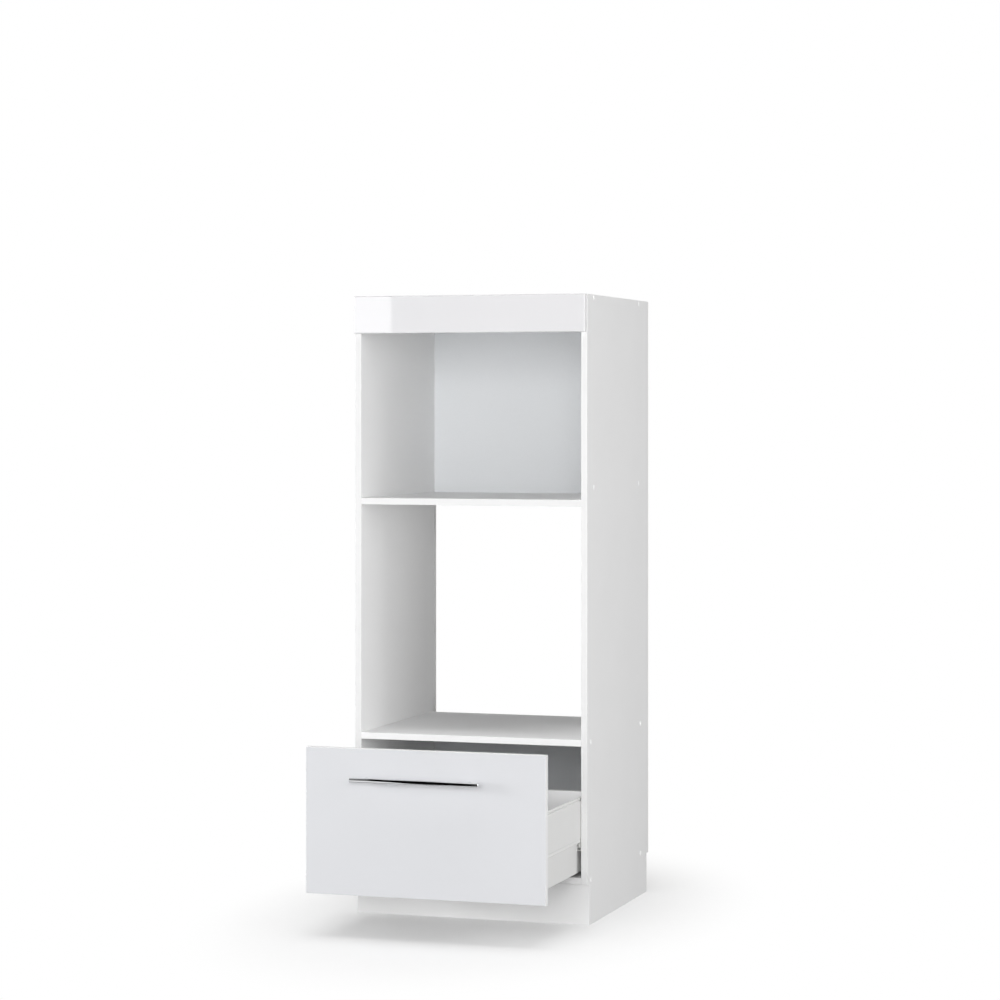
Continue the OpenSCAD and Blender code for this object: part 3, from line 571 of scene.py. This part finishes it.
def makeOverhead():
    data = bpy.data.lights.new("overheadSoftbox", "SUN")
    data.energy = overhead["strength"]
    data.angle = math.radians(overhead["spread"])
    lamp = bpy.data.objects.new("overheadSoftbox", data)
    lamp.location = (0, 0, overhead["height"])
    lamp.rotation_euler = (math.radians(overhead["lean"]), 0, 0)
    scene.collection.objects.link(lamp)


makeFloor()
makeWorld()
makeOverhead()
for name, box in softboxes.items():
    makeSoftbox(name, box)
print("stage lit")


# Cards beside the stage that only shiny surfaces see: painted reflections, a black band and glowing grey
# bands drawn into the chrome handle bar. Each is a sheet curved about the handle bar. Its outline gives
# places along the bar, from the middle of the cabinet, and at each the angles above level between which it is
# drawn.
reflectionCardColour = "#050505"
handleReflectionCards = {
    "reach": 0.36,           # from the bar's axis
    "drift": -0.357,         # how far a mirrored ray moves sideways, for each metre from the bar
    "rows": 12,
    "cards": {
        # each card is a painted reflection in the chrome bar: a black band, and darker and lighter grey
        # glowing bands
        "black": {
            "glow": 0.0,
            "outline": ((-0.130, 2, 108), (-0.109, 3, 98), (-0.094, -5, 94), (-0.074, -11, 92),
                        (-0.055, -22, 95), (-0.035, -38, 96), (-0.010, -47, 94), (0.015, -54, 94),
                        (0.050, -55, 88), (0.087, -46, 76), (0.124, -49, 69), (0.160, -46, 68)),
        },
        "darkGrey": {
            "glow": 0.2,
            "outline": ((-0.190, 2, 92), (-0.160, 2, 94), (-0.130, 2, 108)),
        },
        "grey": {
            "glow": 0.42,
            "outline": ((-0.190, -130, -50), (-0.090, -130, -52), (0.160, -130, -75)),
        },
    },
}


def reflectionCardMaterial(name, glow):
    # Matt black card, or a panel glowing at this brightness, seen only in reflections: a painted reflection
    material, shader, _ = newMaterial(name)
    feed(material, shader, {
        "Base Color": hexColour(reflectionCardColour),
        "Roughness": 1.0,
        "Specular IOR Level": 0.0,
        "Emission Color": (1, 1, 1, 1),
        "Emission Strength": glow,
    })
    material.cycles.emission_sampling = "NONE"
    return material


def addReflectionCard(name, mesh, glow):
    data = bpy.data.meshes.new(name)
    mesh.to_mesh(data)
    mesh.free()
    data.materials.append(reflectionCardMaterial(name + "Face", glow))
    card = bpy.data.objects.new(name, data)
    card.visible_camera = False
    card.visible_diffuse = False
    card.visible_transmission = False
    card.visible_shadow = False
    scene.collection.objects.link(card)


def curvedReflectionCard(name, card):
    low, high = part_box("handle_bar")
    axis = Vector((0, (low[1] + high[1]) / 2, (low[2] + high[2]) / 2))
    reach, outline = handleReflectionCards["reach"], card["outline"]
    columns = len(outline) - 1
    mesh = bmesh.new()
    bmesh.ops.create_grid(mesh, x_segments=columns, y_segments=handleReflectionCards["rows"], size=0.5)
    for vert in mesh.verts:
        along, lowest, highest = outline[round((vert.co.x + 0.5) * columns)]
        angle = math.radians(lowest + (highest - lowest) * (vert.co.y + 0.5))
        vert.co = axis + Vector((along + handleReflectionCards["drift"] * reach, -reach * math.cos(angle),
                                 reach * math.sin(angle)))
    addReflectionCard(name + "Card", mesh, card["glow"])


# A glowing panel left of the camera, seen only by shiny surfaces: a painted reflection, whose edge the glossy
# fascia mirrors at its left end
paintedReflectionPanel = {
    "rightEdge": (-0.922, -2.0),
    "width": 0.9,
    "lowest": 1.2,
    "height": 0.8,
    # brightness of the painted reflection
    "glow": 3.4,
}


def makePaintedReflectionPanel():
    x, y = paintedReflectionPanel["rightEdge"]
    mesh = bmesh.new()
    ends = [mesh.verts.new((x - offset, y, paintedReflectionPanel["lowest"])) for offset in (0, paintedReflectionPanel["width"])]
    raised = bmesh.ops.extrude_edge_only(mesh, edges=[mesh.edges.new(ends)])
    verts = [item for item in raised["geom"] if isinstance(item, bmesh.types.BMVert)]
    bmesh.ops.translate(mesh, verts=verts, vec=(0, 0, paintedReflectionPanel["height"]))
    addReflectionCard("paintedReflectionPanel", mesh, paintedReflectionPanel["glow"])


for name, card in handleReflectionCards["cards"].items():
    curvedReflectionCard(name, card)
makePaintedReflectionPanel()
print("cards hung")

scene.view_settings.view_transform = "Standard"
